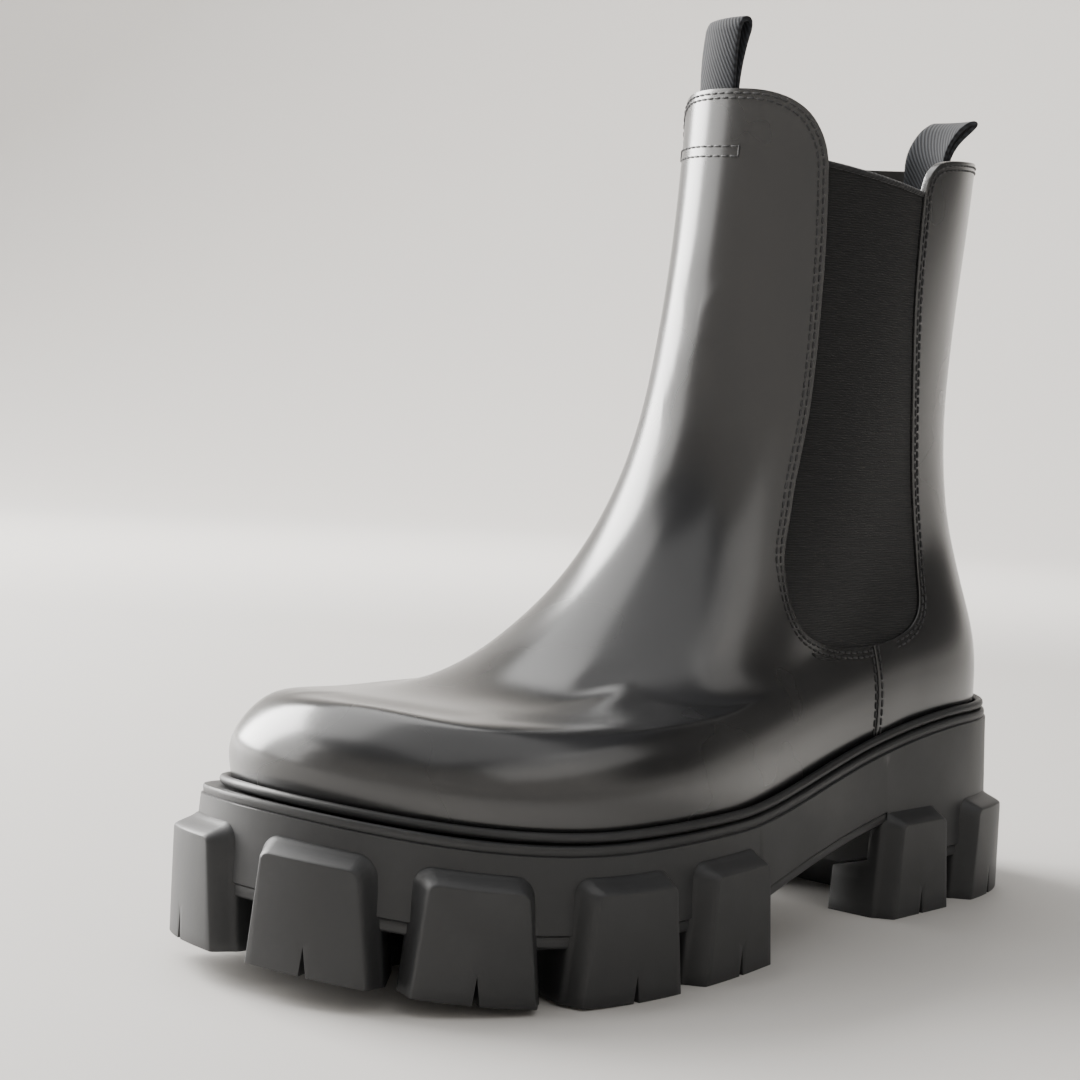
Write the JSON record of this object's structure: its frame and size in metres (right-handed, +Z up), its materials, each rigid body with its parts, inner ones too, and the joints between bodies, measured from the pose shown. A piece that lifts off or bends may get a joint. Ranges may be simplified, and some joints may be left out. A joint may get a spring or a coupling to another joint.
{
  "type": "platform boot",
  "caption": "Left high pull-on boot with elastic side gores and twill pull loops, on a moulded platform sole with side lugs.",
  "frame": {"origin": "centre of the bounding box, on the ground under the sole", "axes": "+X towards the toe, +Y towards the outer side of the foot, +Z up"},
  "size_m": [0.3138, 0.139, 0.2736],
  "materials": {
    "sole_rubber": "matt moulded, fine grain",
    "rand_rubber": "smooth, half matt",
    "insole_board": "matt",
    "polished_leather": "polished",
    "elastic": "matt, fine ribs",
    "twill_tape": "matt twill"
  },
  "bodies": {
    "root": {"sole_unit": "sole_rubber", "rand": "rand_rubber", "insole": "insole_board", "upper": "polished_leather", "gore_outer": "elastic", "gore_inner": "elastic", "pull_loop_front": "twill_tape", "pull_loop_back": "twill_tape"}
  },
  "joints": []
}
